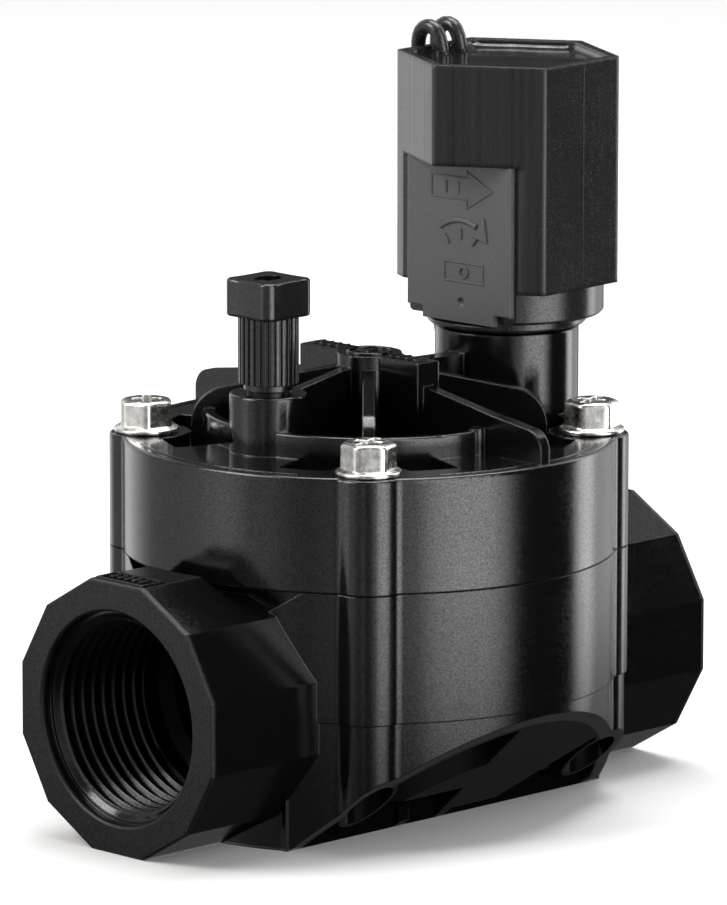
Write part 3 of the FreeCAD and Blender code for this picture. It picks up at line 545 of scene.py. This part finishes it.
def deck_rim():
    """A fine line just inside the deck's edge, between the screw ears."""
    plane = Plane((0, 0, DECK_Z), (1, 0, 0), (0, 1, 0))
    bm = bmesh.new()
    for start, end in ((62.0, 118.0), (152.0, 208.0), (242.0, 298.0)):
        raised_line(bm, plane, arc(0.0, 0.0, 37.5, start, end, 30), 0.45, 0.16)
    piece("deck_rim", bm, BONNET, "housing")


# ---------------------------------------------------------------- bonnet screws

SCREW_XY = 25.04
SCREW_TURNS = (19, 48, 20, 25)
HEAD_STEPS = 96
HEX_FLAT = 4.0


def head_radius(flat, turn, hexness):
    """Radius of a hexagon with worn corners; hexness 0 is a circle."""
    reach = 1 / math.cos((turn % (math.pi / 3)) - math.pi / 6)
    reach -= max(0.0, reach - 1.09) * 0.65
    return flat * (1 + hexness * (reach - 1))


def recess(u, v):
    """Depth of the combination recess at a place on the head."""
    slot = smooth_step(0.72 - abs(v), 0.0, 0.2) * smooth_step(3.3 - abs(u), 0.0, 0.25)
    cross = smooth_step(0.66 - abs(u), 0.0, 0.2) * smooth_step(2.3 - abs(v), 0.0, 0.25)
    return 1.25 * max(slot, cross)


def bonnet_screws():
    thread = []
    for i in range(12):
        z = -15.4 - (11 - i) * 1.5
        thread += [(1.9, z), (2.4, z + 0.6), (2.4, z + 0.8), (1.9, z + 1.4)]
    stem = [(0, -34.0), (1.2, -34.0)] + thread + [(2.2, -13.9), (2.2, 0.02), (4.9, 0.02), (5.12, 0.1), (5.2, 0.3),
                                                  (5.2, 0.5), (5.12, 0.68), (4.9, 0.82), (4.62, 0.95), (4.5, 1.05)]
    hexed = [(4.12, 1.15, 0.8), (HEX_FLAT, 1.35, 1.0), (HEX_FLAT, 4.3, 1.0), (3.97, 4.6, 0.97), (3.86, 4.85, 0.85),
             (3.66, 5.05, 0.6), (3.45, 5.15, 0.3)]
    top = [3.3 - 0.15 * k for k in range(22)]
    bm = bmesh.new()
    places = [(sx * SCREW_XY, sy * SCREW_XY) for sx in (-1, 1) for sy in (-1, 1)]
    for (x, y), angle in zip(places, SCREW_TURNS):
        rings = turned_rings([(r, DECK_Z + z) for r, z in stem], HEAD_STEPS, x, y)
        turns = [2 * math.pi * i / HEAD_STEPS for i in range(HEAD_STEPS)]
        shift = math.radians(angle)
        for flat, z, hexness in hexed:
            radii = [head_radius(flat, a - shift, hexness) for a in turns]
            rings.append([(x + r * math.cos(a), y + r * math.sin(a), DECK_Z + z) for r, a in zip(radii, turns)])
        for r in top:
            depths = [recess(r * math.cos(a - shift), r * math.sin(a - shift)) for a in turns]
            rings.append([(x + r * math.cos(a), y + r * math.sin(a), DECK_Z + 5.2 - d)
                          for a, d in zip(turns, depths)])
        rings.append([(x, y, DECK_Z + 3.95)])
        skin(bm, rings)
    obj = piece("bonnet_screws_fine", bm, ZINC, "housing")
    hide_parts("bonnet_screws")


# ---------------------------------------------------------------- potting surface

POTTING_Z = 115.9


def potting_surface():
    """The set resin: drawn up at the can's wall and around the leads, with slight waves."""
    edge = CAN_R - CAN_WALL / math.cos(math.pi / 6)
    steps, bands = 96, 26
    leads = [Vector((x, lead_start_y(x))) for x in LEAD_X]
    rings = []
    for band in range(bands):
        share = 1.0 - (band / bands) ** 1.6
        ring = []
        for i in range(steps):
            a = 2 * math.pi * i / steps
            reach = edge * math.cos(math.pi / 6) / math.cos((a % (math.pi / 3)) - math.pi / 6)
            r, turn = reach * share, a + math.radians(CAN_TURN)
            x, y = SOL_X + r * math.cos(turn), r * math.sin(turn)
            from_wall = edge * math.cos(math.pi / 6) * (1.0 - share)
            rise = 0.85 * math.exp(-from_wall / 0.55)
            rise += sum(0.6 * math.exp(-max(0.0, (Vector((x, y)) - p).length - 1.25) / 0.5) for p in leads)
            rise += 0.05 * math.sin(x * 0.55 + 1.0) * math.cos(y * 0.43)
            ring.append((x, y, POTTING_Z + 0.06 + min(rise, 1.0)))
        rings.append(ring)
    rings.append([(SOL_X, 0, POTTING_Z + 0.06)])
    bm = bmesh.new()
    skin(bm, rings)
    piece("potting_surface", bm, RESIN, "solenoid", 80.0)


# ---------------------------------------------------------------- soft and springy pieces

PARTING_Z = 41.4


def diaphragm():
    """The rubber diaphragm, one turned piece from its centre to the bead held in the housing."""
    z = PARTING_Z
    profile = [
        (2.2, 36.8), (10.0, 36.8), (18.2, 36.8), (19.0, 37.2), (19.5, 38.6), (19.9, 40.4),
        (20.4, 42.2), (21.3, 43.3), (22.1, 43.6), (22.9, 43.5), (23.7, 42.9), (24.2, 41.8),
        (24.7, z - 0.6), (26.5, z - 0.6), (28.5, z - 0.6), (28.5, z - 1.3), (28.8, z - 1.5), (31.0, z - 1.5),
        (31.35, z - 1.2), (31.35, z + 1.2), (31.0, z + 1.5), (28.8, z + 1.5), (28.5, z + 1.3), (28.5, z + 0.6),
        (26.8, z + 0.6), (25.4, z + 0.6), (25.1, 42.4), (24.7, 43.8), (23.8, 44.7), (22.2, 45.0),
        (21.0, 44.6), (20.0, 43.6), (19.2, 42.2), (18.6, 40.0), (18.1, 38.4), (10.0, 38.4),
        (2.2, 38.4),
    ]
    bm = bmesh.new()
    skin(bm, turned_rings(profile, 120), True)
    obj = piece("diaphragm_rubber", bm, RUBBER)
    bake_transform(obj)
    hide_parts("diaphragm")


def spring(name, body, x, r, wire, z0, z1, turns, look):
    """A coil spring of even pitch between two heights, that moves with a body."""
    low, high = z0 + wire, z1 - wire
    count = turns * 12
    points = []
    for i in range(count + 1):
        a = 2 * math.pi * i / 12
        points.append((x + r * math.cos(a), r * math.sin(a), low + (high - low) * i / count))
    obj = as_mesh(spline_object(name + "_line", points, wire * MM), name)
    obj.data.materials.clear()
    obj.data.materials.append(look)
    for polygon in obj.data.polygons:
        polygon.use_smooth = True
    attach(obj, body)
    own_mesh(obj)
    return obj


panel_marks()
mould_lines()
port_pads()
bar_marks()
deck_rim()
bonnet_screws()
potting_surface()
diaphragm()
main_spring = spring("diaphragm_coil", "housing", 0.0, 10.4, 0.55, 40.45, 53.95, 5, STEEL)
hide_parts("diaphragm_spring")
small_spring = spring("plunger_coil", "solenoid", SOL_X, 1.6, 0.22, 84.02, 91.98, 7, STEEL)
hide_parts("plunger_spring")


# ---------------------------------------------------------------- floor and light

def make_floor():
    mesh = bpy.data.meshes.new("floor")
    size = 6.0
    mesh.from_pydata([(-size, -size, 0), (size, -size, 0), (size, size, 0), (-size, size, 0)], [], [(0, 1, 2, 3)])
    obj = bpy.data.objects.new("floor", mesh)
    bpy.context.scene.collection.objects.link(obj)
    mesh.materials.append(new_material("floor", (0.80, 0.80, 0.80), 0.9)[0])
    obj.visible_glossy = False


def make_shade():
    """A dark veil on the floor around the object that only reflections meet, painted shade: in reflections the pale
    floor is dimmer there.
    """
    steps, radius = 64, 0.3
    turns = [2 * math.pi * i / steps for i in range(steps)]
    mesh = bpy.data.meshes.new("floor_shade")
    rim = [(radius * math.cos(a), radius * math.sin(a), 0.0004) for a in turns]
    mesh.from_pydata(rim, [], [tuple(range(steps))])
    obj = bpy.data.objects.new("floor_shade", mesh)
    bpy.context.scene.collection.objects.link(obj)
    made, tree, _ = new_material("floor_shade", (0.0, 0.0, 0.0), 1.0)
    place = add(tree, "ShaderNodeTexCoord").outputs["Object"]
    far = add(tree, "ShaderNodeVectorMath", {"operation": "LENGTH"}, _0=place).outputs["Value"]
    share = add(tree, "ShaderNodeMapRange", {"interpolation_type": "SMOOTHSTEP"}, _0=far, _1=0.07, _2=0.22, _3=0.3,
                _4=1.0).outputs[0]
    clear = add(tree, "ShaderNodeCombineColor", _0=share, _1=share, _2=share).outputs[0]
    veil = add(tree, "ShaderNodeBsdfTransparent", Color=clear).outputs[0]
    tree.links.new(veil, tree.nodes["Material Output"].inputs["Surface"])
    mesh.materials.append(made)
    for ray in ("camera", "diffuse", "transmission", "shadow", "volume_scatter"):
        setattr(obj, "visible_" + ray, False)


def around(angle, distance, z):
    """A point at a height, angle degrees to the right of the camera's side of the object."""
    a = math.radians(angle - 135.0)
    return Vector((distance * math.cos(a), distance * math.sin(a), z))


def area_light(name, place, target, width, height, power, colour=(1.0, 1.0, 1.0)):
    data = bpy.data.lights.new(name, "AREA")
    data.shape = "RECTANGLE"
    data.size, data.size_y = width, height
    data.energy = power
    data.color = colour
    obj = bpy.data.objects.new(name, data)
    bpy.context.scene.collection.objects.link(obj)
    turn = (target - place).to_track_quat("-Z", "Y").to_matrix()
    obj.matrix_world = Matrix.Translation(place) @ turn.to_4x4()
    obj.visible_camera = False


# brightness of the studio by direction, in degrees right of the camera's side
STUDIO = [(-180, 0.05), (-166, 0.3), (-158, 1.1), (-148, 1.5), (-134, 1.0), (-121, 0.5), (-104, 0.6), (-88, 0.85),
          (-72, 1.4), (-64, 1.3), (-57, 0.75), (-45, 0.65), (-34, 0.38), (-26, 0.34), (-14, 0.6), (-6, 0.2),
          (6, 0.3), (16, 1.0), (23, 1.3), (30, 3.4), (40, 4.3), (56, 4.4), (64, 3.0), (71, 0.7), (75, 0.012),
          (110, 0.01), (115, 4.0), (124, 4.4), (131, 1.5), (152, 0.9), (164, 0.2)]
BRIGHTEST = 4.4
# the same for directions steeply below the horizon, where the pale floor is seen beyond the object's own shade
GROUND = [(-180, 0.25), (-140, 0.3), (-100, 0.1), (-60, 0.08), (0, 0.03), (60, 0.02), (110, 0.05), (132, 0.2),
          (142, 0.35), (178, 0.35)]


def direction_ramp(tree, turn, stops):
    """Brightness around the object, from (degrees, level) stops."""
    ramp = tree.nodes.new("ShaderNodeValToRGB")
    tree.links.new(turn, ramp.inputs[0])
    stops = sorted(((b / 360.0 + 0.125) % 1.0, level) for b, level in stops)
    stops = [(0.0, stops[0][1])] + stops
    elements = ramp.color_ramp.elements
    for i, (at, level) in enumerate(stops):
        element = elements[i] if i < 2 else elements.new(at)
        element.position = at
        element.color = (level / BRIGHTEST,) * 3 + (1.0,)
    return ramp.outputs[0]


def make_world():
    world = bpy.data.worlds.new("studio")
    bpy.context.scene.world = world
    world.use_nodes = True
    world.cycles.sampling_method = "NONE"
    tree = world.node_tree
    direction = add(tree, "ShaderNodeTexCoord").outputs["Generated"]
    turn = add(tree, "ShaderNodeTexGradient", {"gradient_type": "RADIAL"}, Vector=direction).outputs["Fac"]
    height = add(tree, "ShaderNodeSeparateXYZ", _0=direction).outputs["Z"]
    low = spread(tree, height, 0.0, 1.0, -0.42, -0.28)
    high = spread(tree, height, 1.0, 0.3, 0.5, 0.75)
    level = add(tree, "ShaderNodeMath", {"operation": "MULTIPLY"}, _0=high, _1=BRIGHTEST).outputs[0]
    colour = add(tree, "ShaderNodeMix", {"data_type": "RGBA"}, _0=low, _6=direction_ramp(tree, turn, GROUND),
                 _7=direction_ramp(tree, turn, STUDIO)).outputs[2]
    studio = add(tree, "ShaderNodeBackground", Color=colour, Strength=level).outputs[0]
    plain = add(tree, "ShaderNodeBackground", Color=(1.0, 1.0, 1.0, 1.0), Strength=1.0).outputs[0]
    seen = add(tree, "ShaderNodeLightPath").outputs["Is Camera Ray"]
    both = add(tree, "ShaderNodeMixShader", _0=seen, _1=studio, _2=plain).outputs[0]
    tree.links.new(both, tree.nodes["World Output"].inputs["Surface"])


make_floor()
make_shade()
make_world()
MIDDLE = Vector((0.0, 0.0, 0.05))
area_light("key", around(-75, 0.75, 0.75), MIDDLE, 0.5, 0.5, 7.0, (1.0, 0.98, 0.95))
area_light("top", around(160, 0.25, 0.9), MIDDLE, 0.7, 0.7, 10.0)
bpy.context.scene.view_settings.view_transform = "Standard"
